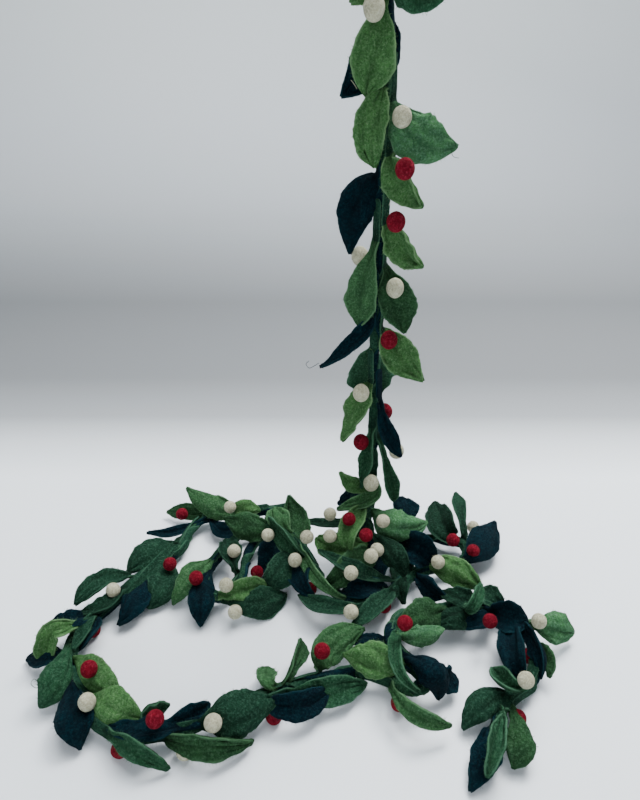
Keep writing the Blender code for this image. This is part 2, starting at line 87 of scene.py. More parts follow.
def place(pixels, distances, hangs):
    """Eye + line x reach. The reach ends at a height in mm above the surface or, where the piece hangs, at a
    distance in mm in front of the stem."""
    pixels = np.asarray(pixels, float)
    distances = np.asarray(distances, float) / 1000
    lines = sight_lines(pixels)
    reach = (-distances - EYE[1]) / lines[:, 1] if hangs else (distances - EYE[2]) / lines[:, 2]
    return EYE + lines * reach[:, None]


def project(points):
    """Pixels at which points show: centre + focal x (across, -up) / depth."""
    away = points - EYE
    deep = away[:, 1] * math.cos(TILT) - away[:, 2] * math.sin(TILT)
    up = away[:, 1] * math.sin(TILT) + away[:, 2] * math.cos(TILT)
    return CENTRE + FOCAL * np.stack([away[:, 0] / deep, -up / deep], axis=1)


print("eye above the surface:", EYE[2], "m, focal length", view.lens, "mm")

# %% [markdown]
# The garland's plan is a table, as a maker's list would be: for each stretch of stem its route, then one
# row for each leaf sewn to it. A leaf's row gives the pixels of its root and tip, the height of its middle
# and of its tip in mm (where it hangs, the distance in front of the stem), how far it is rolled about its
# length and folded across it in degrees, its width in mm, its felt, and how far its middle strays from the
# straight line in pixels. The felt is the light, mid or dark felt, or a lighter or darker copy of one of them
# that stands for the light the leaf catches: painted light and shade. Some rows say more: twist turns the
# blade from root to tip, in degrees, hook pulls the tip aside, in pixels, lean makes one half narrower than
# the other, and peak is the share of the blade at which it is widest. A berry's row gives its felt. One that
# is half hidden also has the pixel and the height in mm at which it peeps out.

# %% The plan of the garland
Leaf = collections.namedtuple("Leaf", "root tip middle end roll fold wide tone bend twist hook lean peak",
                              defaults=((0, 0), 0, (0, 0), 0.0, 0.45))
Berry = collections.namedtuple("Berry", "felt pixel height", defaults=(None, None))
Stretch = collections.namedtuple("Stretch", "name hangs route leaves berries")

STRETCHES = [
    Stretch("hanging_strand", True,
        [(391, -63, 0), (389, -10, 1), (389, 40, 0), (388, 100, -1), (384, 165, 0), (382, 200, 1),
         (380, 245, 0), (378, 300, 0), (375, 350, 0), (375, 400, 0), (373, 440, 0), (373, 475, 0),
         (369, 500, 1)],
        [
            Leaf((391, -38), (447, -8), 14, 24, 15, 25, 28, "mid", (4, 12)),
            Leaf((390, -46), (352, 3), 18, 28, -20, 25, 28, "light"),
            Leaf((390, -4), (366, 96), 9, 4, 0, 28, 28, "light", (-5, 3), lean=0.10, peak=0.60),
            Leaf((393, 14), (341, 97), -10, -12, 0, 15, 28, "dark", (11, -2)),
            Leaf((384, 84), (375, 167), 11, 3, 8, 34, 23, "light", (-8, 1), peak=0.52),
            Leaf((387, 100), (457, 146), 12, 2, 0, -22, 31, "sage_painted_lit", (-4, 14), peak=0.52),
            Leaf((391, 152), (422, 207), 14, 28, 34, 44, 27, "light", (-2, 5)),
            Leaf((379, 172), (350, 254), 4, 6, 0, -25, 26, "dark", (-8, -6), peak=0.42),
            Leaf((388, 222), (422, 267), 16, 34, 34, 45, 25, "light", (1, 5)),
            Leaf((377, 236), (359, 327), 6, 4, 30, 30, 27, "fern_painted_shading", (-3, 8), peak=0.62),
            Leaf((385, 264), (405, 333), 4, 6, -10, 28, 28, "moss_painted_shade", (1, 2), peak=0.54),
            Leaf((378, 303), (318, 364), 10, 12, 20, 34, 13, "dark", (12, 3), twist=40, hook=(2, 3),
                 peak=0.46),
            Leaf((385, 330), (423, 381), 5, 14, 0, 25, 26, "light", (-1, 4)),
            Leaf((371, 348), (378, 396), -11, -18, 0, 14, 36, "mid", (-4, 0), peak=0.55),
            Leaf((373, 380), (342, 441), 8, 12, 42, 25, 25, "light", (0, 0)),
            Leaf((379, 398), (401, 457), 8, 12, -10, 24, 14, "dark", (-3, 4), peak=0.60),
            Leaf((373, 424), (361, 488), 8, 12, 30, 50, 15, "mid", (2, 0), peak=0.50),
            Leaf((366, 487), (340, 472), 14, 17, 0, 24, 13, "light", (-2, 4), peak=0.55),
            Leaf((379, 436), (394, 501), 6, 8, -10, 60, 16, "mid", (1, 0), peak=0.72),
            Leaf((384, 474), (337, 509), 12, 8, 40, 30, 17, "fern_painted_shading", (12, 5)),
            Leaf((370, 492), (338, 504), -10, -16, 20, 20, 15, "dark", (0, -3)),
        ],
        [Berry("white"), Berry("white"), Berry("red"), Berry("red"), Berry("white"), Berry("white"),
         Berry("red"), Berry("white"), Berry("red"), Berry("red"), Berry("white"), Berry("white")]),
    Stretch("pile", False,
        [(367, 513, 34), (366, 530, 27), (374, 547, 19), (398, 549, 12), (426, 538, 9), (448, 541, 9),
         (464, 546, 9), (467, 557, 9), (455, 566, 9), (436, 567, 10), (415, 573, 10), (400, 584, 10),
         (387, 597, 11), (369, 603, 12), (350, 601, 13), (332, 590, 14), (317, 574, 16), (307, 557, 17),
         (299, 545, 18), (289, 536, 17), (276, 531, 15), (262, 537, 12), (251, 548, 10), (246, 562, 9),
         (242, 576, 9), (232, 589, 9), (220, 598, 9), (210, 593, 9), (205, 582, 9), (208, 570, 9),
         (216, 560, 9), (225, 549, 10), (235, 539, 10), (247, 530, 12), (263, 524, 15), (282, 522, 20)],
        [
            Leaf((355, 506), (350, 552), 42, 27, 25, 34, 20, "light", (-2, 0), peak=0.6),
            Leaf((348, 521), (303, 521), 27, 22, 40, 20, 10, "deep", (0, 2), peak=0.5),
            Leaf((364, 546), (316, 539), 30, 26, 0, 34, 22, "light", (0, 5), peak=0.55),
            Leaf((370, 514), (360, 552), 26, 18, 0, 24, 16, "pine_painted_shade", (-1, 0)),
            Leaf((371, 514), (427, 522), 42, 36, 0, -30, 26, "sage_painted_lit", (0, 8), peak=0.45),
            Leaf((402, 536), (406, 499), 30, 34, 12, 30, 24, "dark", (1, 0), peak=0.72),
            Leaf((390, 544), (431, 565), 28, 14, 0, 46, 28, "dark", (3, -8), peak=0.62),
            Leaf((376, 532), (404, 576), 38, 24, 10, -46, 22, "deep", (1, 0), peak=0.66),
            Leaf((393, 543), (422, 560), 22, 14, 0, 20, 17, "deep", (0, 2)),
            Leaf((362, 562), (326, 586), 24, 12, 0, 24, 24, "moss_painted_shade"),
            Leaf((394, 578), (319, 550), 28, 30, 40, 34, 15, "pine_painted_shade", (-3, 6), peak=0.55),
            Leaf((380, 581), (341, 593), 20, 12, 30, 20, 17, "dark", (0, 2)),
            Leaf((457, 546), (434, 502), 20, 16, 0, 30, 25, "deep", (-2, 3), peak=0.40),
            Leaf((465, 542), (456, 493), 22, 22, 10, 24, 12, "pine_painted_shade", (1, 0), peak=0.66),
            Leaf((458, 563), (495, 522), 20, 16, 0, -26, 27, "dark", (2, 6), peak=0.52),
            Leaf((424, 560), (483, 590), 20, 8, 0, -16, 22, "light", (0, -4), peak=0.45),
            Leaf((414, 571), (447, 598), 16, 14, 30, 20, 17, "dark", (-2, 3), peak=0.6),
            Leaf((372, 605), (299, 595), 16, 12, 30, 34, 15, "pine_painted_shade", (0, 9), peak=0.60),
            Leaf((390, 590), (350, 628), 22, 12, 24, 34, 16, "pine_painted_shade", (2, 2), peak=0.5),
            Leaf((396, 572), (404, 604), 14, 6, 20, 24, 12, "deep", (2, 0)),
            Leaf((372, 556), (376, 592), 16, 9, 0, 20, 21, "dark"),
            Leaf((402, 552), (392, 592), 14, 8, 0, 24, 18, "deep", (3, 0)),
            Leaf((303, 546), (346, 598), 25, 16, 20, 34, 11, "fern_painted_shading", (-6, 7), peak=0.5),
            Leaf((300, 560), (314, 596), 20, 14, 20, 20, 19, "dark", (-6, 2)),
            Leaf((293, 554), (262, 588), 22, 8, 0, -24, 25, "pine_painted_shade", (3, 2), peak=0.5),
            Leaf((278, 529), (225, 519), 26, 22, 0, -24, 24, "moss_painted_shade", (-2, 3), peak=0.5),
            Leaf((303, 545), (289, 495), 24, 38, 10, 30, 24, "moss_painted_shade", (-1, 0), peak=0.45),
            Leaf((294, 538), (274, 508), 27, 30, 10, 20, 20, "fern_painted_shading", (-3, 0), peak=0.6),
            Leaf((308, 563), (266, 517), 30, 26, -50, 24, 20, "mid", (1, 2)),
            Leaf((278, 545), (258, 572), 12, 4, 10, 20, 22, "dark"),
            Leaf((242, 578), (227, 540), 16, 12, 10, 40, 20, "deep", (-2, 2), peak=0.55),
            Leaf((216, 565), (173, 604), 18, 4, 14, -24, 20, "fern_painted_shading", (-6, -5), peak=0.5),
            Leaf((206, 571), (201, 626), 16, 3, 0, -22, 20, "dark", (-2, 1), peak=0.58),
            Leaf((220, 598), (267, 585), 20, 13, 10, 24, 17, "light", (-2, -2), peak=0.58),
            Leaf((222, 602), (286, 594), 14, 4, 0, -28, 25, "pine_painted_shade", (2, 6), peak=0.6),
        ],
        [Berry("red"), Berry("white"), Berry("white"), Berry("white"), Berry("red"), Berry("white"),
         Berry("white"), Berry("white"), Berry("white"), Berry("white"), Berry("red"),
         Berry("white", (473, 527), 9), Berry("red"), Berry("white"), Berry("white"), Berry("white"),
         Berry("red", (267, 585), 10), Berry("white"), Berry("white"), Berry("red"), Berry("white")]),
    Stretch("far_arc", False,
        [(302, 517, 22), (296, 508, 19), (278, 508, 15), (257, 511, 12), (232, 514, 10), (210, 516, 9),
         (197, 524, 9), (188, 536, 9), (180, 548, 9), (168, 558, 9), (152, 570, 9), (135, 582, 9),
         (118, 597, 9), (103, 610, 9)],
        [
            Leaf((206, 513), (146, 537), 10, 6, 20, 40, 10, "dark", (2, 6), hook=(1, -4), peak=0.6),
            Leaf((204, 508), (167, 512), 10, 6, 20, 20, 16, "moss_painted_shade", (0, 2)),
            Leaf((240, 514), (187, 488), 22, 28, 0, -24, 21, "fern_painted_shading", (-1, 5), peak=0.40),
            Leaf((230, 506), (261, 511), 20, 14, -10, -10, 15, "light", (0, -1)),
            Leaf((250, 535), (210, 518), 10, 8, 30, 20, 17, "dark", (-2, 4)),
            Leaf((176, 544), (127, 574), 18, 10, 10, -26, 24, "pine_painted_shade", (-3, -5), peak=0.5),
            Leaf((168, 562), (148, 608), 14, 4, 0, -26, 24, "pine_painted_shade", (5, 2), peak=0.52),
            Leaf((150, 571), (119, 625), 14, 5, 30, -26, 21, "dark", (-1, 3), peak=0.6),
            Leaf((134, 577), (75, 605), 20, 14, 34, 38, 19, "pine_painted_shade", (-3, -9), peak=0.55),
            Leaf((128, 596), (77, 614), 16, 14, 44, 40, 14, "deep", (0, 1), peak=0.5),
            Leaf((188, 538), (122, 596), 14, 13, 10, 24, 10, "pine_painted_shade", (0, 0), peak=0.5),
        ],
        [Berry("white"), Berry("red"), Berry("red"), Berry("white", (113, 590), 19)]),
    Stretch("near_arc", False,
        [(84, 626, 10), (73, 642, 10), (69, 658, 10), (72, 675, 10), (79, 691, 10), (88, 707, 9),
         (98, 721, 9), (112, 731, 9), (132, 735, 9), (155, 733, 9), (178, 729, 9), (200, 724, 9),
         (222, 716, 9), (250, 703, 9), (272, 694, 9), (292, 687, 9), (315, 680, 10), (340, 674, 10),
         (362, 671, 11)],
        [
            Leaf((100, 617), (74, 652), 12, 5, 45, 20, 17, "dark"),
            Leaf((88, 622), (44, 632), 20, 12, 45, 20, 17, "dark", (2, -6)),
            Leaf((82, 628), (38, 632), 26, 22, 10, 38, 16, "light", (-2, -1), hook=(1, 28), peak=0.62),
            Leaf((66, 647), (40, 706), 20, 5, 10, -25, 21, "mid", (2, 3), peak=0.66),
            Leaf((66, 654), (27, 659), 12, 3, 20, 20, 15, "dark"),
            Leaf((110, 603), (72, 652), 16, 14, 20, 34, 10, "pine_painted_shade", (-3, -5), peak=0.5),
            Leaf((72, 662), (124, 697), 18, 10, 12, -25, 20, "light", (0, -1)),
            Leaf((80, 704), (142, 718), 19, 9, 0, -30, 24, "light", (0, -4), peak=0.52),
            Leaf((74, 683), (80, 748), 18, 4, 10, -30, 24, "dark", (-4, 1), peak=0.58),
            Leaf((141, 731), (169, 705), 14, 14, 50, 30, 15, "mid", (-6, -7), peak=0.6),
            Leaf((184, 735), (106, 728), 15, 11, 40, 20, 17, "dark"),
            Leaf((108, 740), (169, 769), 14, 3, 30, 34, 13, "mid", (2, -3), peak=0.50),
            Leaf((158, 729), (209, 703), 14, 12, 18, 30, 15, "dark", (5, 1), peak=0.6),
            Leaf((167, 739), (253, 741), 14, 6, 34, 34, 16, "moss_painted_shade", (0, 7), peak=0.45),
            Leaf((200, 723), (278, 699), 22, 14, 0, -34, 29, "pine_painted_shade", (-3, 3)),
            Leaf((278, 694), (266, 668), 16, 5, 10, 24, 14, "fern_painted_shading", (-4, 0), peak=0.5),
            Leaf((286, 690), (302, 641), 18, 14, 40, 40, 14, "moss_painted_shade", (0, 0), peak=0.70),
            Leaf((266, 714), (331, 689), 16, 10, 12, 26, 18, "dark", (0, 4), peak=0.5),
            Leaf((286, 694), (366, 684), 13, 6, 10, 28, 19, "mid", (2, 2), peak=0.55),
            Leaf((314, 664), (364, 629), 20, 18, 0, -26, 23, "fern_painted_shading", (-5, -3)),
        ],
        [Berry("red"), Berry("white"), Berry("red"), Berry("red", (120, 749), 5),
         Berry("white", (185, 751), 5), Berry("white"), Berry("red", (274, 716), 5), Berry("red")]),
    Stretch("tail", False,
        [(388, 679, 12), (406, 689, 12), (421, 690, 13), (424, 678, 16), (413, 665, 18), (399, 655, 19),
         (392, 642, 20), (391, 628, 20), (400, 617, 18), (418, 612, 14), (440, 608, 11), (462, 606, 10),
         (484, 609, 10), (504, 613, 10), (518, 620, 10), (527, 634, 10), (533, 650, 9), (535, 668, 9),
         (530, 684, 9), (517, 692, 9), (506, 702, 9), (501, 716, 9), (497, 732, 9), (490, 750, 8),
         (485, 764, 7)],
        [
            Leaf((404, 669), (344, 655), 24, 20, 0, -24, 23, "light", (0, -2), peak=0.5),
            Leaf((388, 640), (353, 642), 18, 10, 40, 20, 12, "dark"),
            Leaf((394, 622), (420, 692), 28, 18, 10, 44, 10, "mid", (-10, 6), peak=0.5),
            Leaf((464, 618), (481, 584), 26, 28, 20, 50, 11, "mid", (0, 4), peak=0.6),
            Leaf((408, 652), (438, 699), 28, 6, -6, -55, 26, "dark", (8, -3), peak=0.60),
            Leaf((424, 676), (456, 677), 14, 8, 0, 24, 17, "dark", (2, 3), peak=0.6),
            Leaf((396, 679), (450, 722), 18, 12, 24, 34, 12, "fern_painted_shading", (-11, 10), hook=(1, 3), peak=0.6),
            Leaf((390, 632), (447, 610), 26, 16, 0, -20, 25, "moss_painted_shade", (0, -2), peak=0.5),
            Leaf((391, 638), (443, 629), 30, 26, 0, -56, 18, "sage_painted_lit", (0, 3), peak=0.60),
            Leaf((472, 606), (434, 628), 18, 12, 20, -30, 20, "deep"),
            Leaf((480, 606), (440, 592), 18, 14, 30, 30, 17, "deep"),
            Leaf((505, 608), (478, 590), 16, 8, 20, 30, 18, "pine_painted_shade"),
            Leaf((481, 622), (527, 619), 22, 20, 0, 34, 22, "dark", (2, -4), peak=0.64),
            Leaf((492, 622), (459, 624), 14, 9, 30, 20, 14, "dark"),
            Leaf((525, 627), (574, 632), 20, 8, 0, -24, 22, "sage_painted_lit", (3, -2), peak=0.56),
            Leaf((519, 616), (523, 682), 18, 6, 20, 44, 20, "dark", (-8, 2), peak=0.58),
            Leaf((524, 618), (540, 678), 20, 8, 46, 30, 16, "dark", (6, 0), peak=0.55),
            Leaf((540, 645), (549, 677), 14, 8, 14, 24, 13, "moss_painted_shade", (3, 0)),
            Leaf((539, 694), (492, 668), 18, 18, 20, 88, 19, "mid", (-2, 7), peak=0.72),
            Leaf((504, 693), (463, 729), 16, 4, 14, -30, 19, "pine_painted_shade", (-3, -7), peak=0.5),
            Leaf((505, 706), (513, 768), 14, 5, 0, -25, 18, "moss_painted_shade", (11, 4), peak=0.66),
            Leaf((503, 713), (487, 777), 18, 10, 0, 80, 17, "mid", (1, 0), peak=0.64),
            Leaf((498, 724), (470, 791), 9, 3, 8, 15, 17, "dark", (3, -4), peak=0.5),
        ],
        [Berry("red"), Berry("red"), Berry("white"), Berry("white"), Berry("red", (518, 718), 9)]),
]

print("leaves:", sum(len(stretch.leaves) for stretch in STRETCHES))

# %% [markdown]
# The stem's centre line is one smooth curve through the whole route. A Catmull-Rom curve passes through its
# points, so the route's rows are places on the stem itself. It is resampled evenly, because the felt strips
# and the leaf stalks are laid along it by distance.

# %% The stem's centre line
def unit(vectors):
    """Vector / its length."""
    return vectors / np.linalg.norm(vectors, axis=-1, keepdims=True)


def smooth_line(points, count=None, step=None):
    """Catmull-Rom: each span blends its two ends and its neighbours' slopes; then it is resampled evenly."""
    ends = np.vstack([2 * points[0] - points[1], points, 2 * points[-1] - points[-2]])
    t = np.linspace(0, 1, 24, endpoint=False)[None, :, None]
    a, b, c, d = (ends[i : len(ends) - 3 + i, None, :] for i in range(4))
    fine = 0.5 * (2 * b + (c - a) * t + (2 * a - 5 * b + 4 * c - d) * t**2 + (3 * b - a - 3 * c + d) * t**3)
    fine = np.vstack([fine.reshape(-1, 3), points[-1:]])
    along = np.concatenate([[0], np.cumsum(np.linalg.norm(np.diff(fine, axis=0), axis=1))])
    count = count or round(along[-1] / step) + 1
    even = np.linspace(0, along[-1], count)
    return np.stack([np.interp(even, along, fine[:, axis]) for axis in range(3)], axis=1)


STEM_STEP = 0.0025
STEM_WIDE = 0.0070
routes = [place(np.array(s.route)[:, :2], np.array(s.route)[:, 2], s.hangs) for s in STRETCHES]
routes[0][0] = TOP_END
route = np.vstack(routes)
stem_line = smooth_line(route, step=STEM_STEP)
stem_line[:, 2] = np.maximum(stem_line[:, 2], STEM_WIDE / 2)
stem_length = float(np.linalg.norm(np.diff(stem_line, axis=0), axis=1).sum())
stem_heading = unit(np.gradient(stem_line, axis=0))
stem_pixels = project(stem_line)
seams = [0]
for before, after in zip(routes, routes[1:]):
    middle = (before[-1] + after[0]) / 2
    seams.append(int(np.argmin(np.linalg.norm(stem_line - middle, axis=1))))
seams.append(len(stem_line) - 1)
print("stem:", round(stem_length, 3), "m in", len(stem_line), "points")

# %% [markdown]
# Every surface here is a grid of points that closes round a middle line, like a sleeve, and ends in a point
# at both ends. One helper turns such a grid into a closed mesh and stores named values at its points: how
# near each lies to the cut edge, so the felt can be paler there, and how much painted shade it gets in a fold
# or where the stalk leaves the stem, so the felt can be painted darker there.

# %% From a grid to a closed mesh
def close_sleeve(name, grid, **shares):
    """Each ring of a grid is joined to the next, and each end ring to one point, the mean of that ring."""
    rows, around = grid.shape[:2]
    points = np.vstack([grid.reshape(-1, 3), grid[0].mean(axis=0), grid[-1].mean(axis=0)]) - TOP_END
    ring = np.arange(around)
    after = (ring + 1) % around
    base = (np.arange(rows - 1) * around)[:, None]
    quads = np.stack([base + ring, base + after, base + after + around, base + ring + around], axis=-1)
    first = np.stack([np.full(around, rows * around), after, ring], axis=-1)
    end = base[-1] + around
    last = np.stack([np.full(around, rows * around + 1), ring + end, after + end], axis=-1)
    mesh = bpy.data.meshes.new(name)
    mesh.from_pydata(points.tolist(), [], quads.reshape(-1, 4).tolist() + first.tolist() + last.tolist())
    for kind, share in shares.items():
        values = np.concatenate([share.reshape(-1), [share[0].mean(), share[-1].mean()]])
        mesh.attributes.new(kind, "FLOAT", "POINT").data.foreach_set("value", values)
    mesh.shade_smooth()
    made = bpy.data.objects.new(name, mesh)
    bpy.context.scene.collection.objects.link(made)
    return made


def waves(rng, u, v, count=5, finest=3.0):
    """A soft uneven field, about -1 to 1: a sum of sines over u and v in random directions and phases."""
    total = np.zeros(np.broadcast(u, v).shape)
    for _ in range(count):
        along, across = rng.uniform(0.5, finest), rng.uniform(-finest / 2, finest / 2)
        total += np.sin(2 * math.pi * (along * u + across * v) + rng.uniform(0, 2 * math.pi))
    return total / count * 1.4


# %% [markdown]
# Wool felt has no weave. Its colour is a tangle of short dyed fibres, a little lighter and darker from
# place to place, the surface is matt with a soft sheen from the fibre ends, and a cut edge looks paler
# because it is fluffy. Noises in real size make the mottling, the drawn-out streaks and the fibre grain.
# The stored cut edge lightens the rim, and the stored painted shade darkens a fold and the place where the
# stalk leaves the stem, where shade would fall. Each felt has three colours: its main one, a deeper one for
# the mottling and a paler one for the fibre ends. Besides the light, mid and dark felts of the leaves, some
# tones are lighter and darker copies of them, picked per leaf for the light it catches: painted light and
# shade.

# %% Felt
FELTS = {
    "light": ((0.056, 0.150, 0.046), (0.030, 0.090, 0.028), (0.150, 0.270, 0.130)),
    # Painted light: the light felt made lighter, for leaves that face the lamps.
    "sage_painted_lit": ((0.056, 0.172, 0.062), (0.029, 0.090, 0.043), (0.140, 0.280, 0.165)),
    # Painted light and shade: two steps between the light and mid felts, for how much light a leaf catches.
    "fern_painted_shading": ((0.034, 0.102, 0.037), (0.018, 0.060, 0.023), (0.105, 0.210, 0.110)),
    "moss_painted_shade": ((0.0180, 0.060, 0.0215), (0.0095, 0.034, 0.0140), (0.065, 0.145, 0.075)),
    "mid": ((0.0160, 0.063, 0.0285), (0.0085, 0.037, 0.0180), (0.066, 0.155, 0.092)),
    # Painted shade: the mid felt made darker in two steps, for leaves turned away from the light.
    "pine_painted_shade": ((0.0090, 0.038, 0.0205), (0.0045, 0.021, 0.0125), (0.045, 0.110, 0.068)),
    "deep": ((0.0045, 0.0215, 0.0115), (0.0020, 0.0115, 0.0065), (0.030, 0.080, 0.050)),
    "dark": ((0.0005, 0.0105, 0.0160), (0.0002, 0.0045, 0.0085), (0.007, 0.034, 0.042)),
    "stem": ((0.0100, 0.044, 0.024), (0.0050, 0.024, 0.0145), (0.048, 0.120, 0.074)),
    "white": ((0.48, 0.475, 0.335), (0.36, 0.35, 0.24), (0.60, 0.59, 0.46)),
    "red": ((0.150, 0.0042, 0.013), (0.085, 0.0022, 0.008), (0.270, 0.025, 0.045)),
}


def felt(tone):
    """Colour = mottling between two tones, darker in streaks and in painted shade in folds, paler at fibre
    ends and cut edges. The bump's height = 1.6 x mottling + 1.3 x streaks + grain."""
    main, deep, pale = FELTS[tone]
    material = bpy.data.materials.new(f"felt_{tone}")
    material.use_nodes = True
    nodes, links = material.node_tree.nodes, material.node_tree.links
    shader = nodes["Principled BSDF"]
    shader.inputs["Roughness"].default_value = 0.96
    shader.inputs["Specular IOR Level"].default_value = 0.06
    shader.inputs["Sheen Weight"].default_value = 0.10
    shader.inputs["Sheen Roughness"].default_value = 0.55
    shader.inputs["Sheen Tint"].default_value = (*[min(1.0, c * 3 + 0.02) for c in main], 1)
    place_in = nodes.new("ShaderNodeTexCoord")

    def noise(scale, detail, rough):
        made = nodes.new("ShaderNodeTexNoise")
        made.inputs["Scale"].default_value = scale
        made.inputs["Detail"].default_value = detail
        made.inputs["Roughness"].default_value = rough
        links.new(place_in.outputs["Object"], made.inputs["Vector"])
        return made

    def blend(first, second, amount, kind="MIX"):
        made = nodes.new("ShaderNodeMix")
        made.data_type = "RGBA"
        made.blend_type = kind
        for value, socket in ((amount, made.inputs[0]), (first, made.inputs[6]), (second, made.inputs[7])):
            if isinstance(value, (int, float, tuple)):
                socket.default_value = value
            else:
                links.new(value, socket)
        return made.outputs[2]

    def span(source, low, high):
        made = nodes.new("ShaderNodeMapRange")
        made.inputs["From Min"].default_value = low
        made.inputs["From Max"].default_value = high
        links.new(source, made.inputs["Value"])
        return made.outputs["Result"]

    def times(source, factor, plus=0.0):
        made = nodes.new("ShaderNodeMath")
        made.operation = "MULTIPLY_ADD"
        made.inputs[1].default_value = factor
        links.new(source, made.inputs[0])
        if isinstance(plus, float):
            made.inputs[2].default_value = plus
        else:
            links.new(plus, made.inputs[2])
        return made.outputs[0]

    def stored(kind):
        made = nodes.new("ShaderNodeAttribute")
        made.attribute_name = kind
        return made.outputs["Fac"]

    mottle = noise(140.0, 3.0, 0.6).outputs["Fac"]
    grain = noise(650.0, 4.0, 0.8).outputs["Fac"]
    drawn_out = noise(300.0, 3.0, 0.65)
    drawn_out.inputs["Distortion"].default_value = 3.0
    streak = drawn_out.outputs["Fac"]
    colour = blend((*deep, 1), (*main, 1), span(mottle, 0.34, 0.66))
    colour = blend(colour, (*[c * 0.62 for c in deep], 1), times(span(streak, 0.58, 0.36), 0.85))
    colour = blend(colour, (*pale, 1), times(span(grain, 0.48, 0.80), 0.9))
    # Painted shade: the stored share darkens folds and the stalk's root towards a third of the deeper colour.
    colour = blend(colour, (*[c * 0.35 for c in deep], 1), times(stored("hollow"), 0.85))
    colour = blend(colour, (*pale, 1), times(stored("cut_edge"), 0.60))
    links.new(colour, shader.inputs["Base Color"])
    bump = nodes.new("ShaderNodeBump")
    bump.inputs["Strength"].default_value = 0.9
    bump.inputs["Distance"].default_value = 0.0009
    links.new(times(mottle, 1.6, times(streak, 1.3, grain)), bump.inputs["Height"])
    links.new(bump.outputs["Normal"], shader.inputs["Normal"])
    return material


felts = {tone: felt(tone) for tone in FELTS}
print("felts:", ", ".join(felts))

# %% [markdown]
# The stem is two narrow felt strips rolled round each other, with their cut edges showing as pale lines
# that wind slowly along it. A plain round tube would look like wire. So the section's radius grows round
# each half turn and drops back at a lip, and the whole section turns with the distance along the stem. One
# strip is green all the way. The other is blue-black, and mid green along the far arc and the start of the
# tail.

# %% The stem
HALF_ROUND = 12
LIP_START = 0.80
LIP_REACH = 1.25
TURN_LENGTH = 0.10
FLOOR_GAP = 0.0001


def carried_sides(line, heading, start):
    """A side for each point, square to the line: the last side minus its part along the new heading."""
    sides = np.empty_like(line)
    side = np.array(start, float)
    for i, along in enumerate(heading):
        side = unit(side - along * np.dot(side, along))
        sides[i] = side
    return sides


def rolled_stem(line, heading):
    """Radius = half width x (LIP_START rising to LIP_REACH over each half turn). The section is turned by a
    winding that grows with the distance s."""
    side = carried_sides(line, heading, (1.0, 0.0, 0.0))
    other = np.cross(heading, side)
    s = np.linspace(0, stem_length, len(line))[:, None]
    climb = np.linspace(0, 1, HALF_ROUND - 1)
    half = np.concatenate([LIP_START + (LIP_REACH - LIP_START) * climb**1.4, [LIP_REACH - 0.06]])
    spread = np.concatenate([0.05 + 0.92 * climb, [1.0]]) * math.pi
    factor = np.concatenate([half, half * 0.97])[None, :]
    angle = np.concatenate([spread, spread + math.pi])[None, :]
    round_once = 2 * math.pi * s
    winding = round_once / TURN_LENGTH + 1.2 * np.sin(round_once / 0.063) + 0.7 * np.sin(round_once / 0.027)
    swell = 1 + 0.05 * np.sin(round_once / 0.031) + 0.04 * np.sin(round_once / 0.0175 + 1)
    radius = STEM_WIDE / 2 * factor * swell
    turned = angle + winding
    outward = np.cos(turned)[..., None] * side[:, None] + np.sin(turned)[..., None] * other[:, None]
    grid = line[:, None] + radius[..., None] * outward
    grid[..., 2] = np.maximum(grid[..., 2], 2 * FLOOR_GAP)
    lip = np.concatenate([climb**10, [1.0]])
    return grid, np.concatenate([lip, lip])[None, :] * np.ones_like(radius)


grid, lips = rolled_stem(stem_line, stem_heading)
stem = close_sleeve("stem", grid, cut_edge=lips)
for tone in ("stem", "dark", "mid"):
    stem.data.materials.append(felts[tone])
DARK_STRIP, MID_STRIP = 1, 2
MID_TAIL = 60
around = 2 * HALF_ROUND
second_strip = np.full(len(stem_line) - 1, DARK_STRIP)
second_strip[seams[2] : seams[3]] = MID_STRIP
second_strip[seams[4] : seams[4] + MID_TAIL] = MID_STRIP
strips = np.zeros(len(stem.data.polygons), dtype=np.int32)
strips[: (len(stem_line) - 1) * around] = np.outer(second_strip, np.arange(around) >= HALF_ROUND).reshape(-1)
stem.data.polygons.foreach_set("material_index", strips)
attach(stem, "root")
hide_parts(*[stretch.name for stretch in STRETCHES])
print("stem triangles:", 2 * around * len(stem_line))

# %% [markdown]
# A leaf is cut flat from a sheet: a plain pointed oval on a narrow stalk. The stalk lies along the stem,
# where it is stitched, and the blade leaves it in a curve. So the middle line runs down the stem for STALK,
# then through the blade's middle to the tip. Cloth simulation was the other way; a drawn curve was chosen
# because each leaf's lie is known from the photograph.

# %% A leaf's middle line and width
STALK = 0.024
STALK_WIDE = 0.0066
FELT_THICK = 0.0021
ALONG = 46
ACROSS = 21
ROUNDNESS = 0.85
BLUNT_TIP = 0.0017
RIGHT = np.array((1.0, 0.0, 0.0))
UP = np.array((0.0, math.sin(TILT), math.cos(TILT)))


def smooth_step(x):
    """x squared x (3 - 2 x): a soft rise from 0 to 1."""
    x = np.clip(x, 0, 1)
    return x * x * (3 - 2 * x)


def half_width(u, wide, peak):
    """Blade: wide / 2 x sin(pi u ** p) ** ROUNDNESS, widest at the peak; stalk and tip set the least."""
    p = math.log(0.5) / math.log(peak)
    blade = wide / 2 * np.sin(math.pi * np.clip(u, 0, 1) ** p) ** ROUNDNESS
    stalk = STALK_WIDE / 2 * np.sqrt(np.clip(1 - u, 0, 1))
    blunt = BLUNT_TIP * np.sqrt(np.clip((1 - u) / 0.03, 0.02, 1))
    return np.maximum(np.maximum(blade, stalk), blunt)


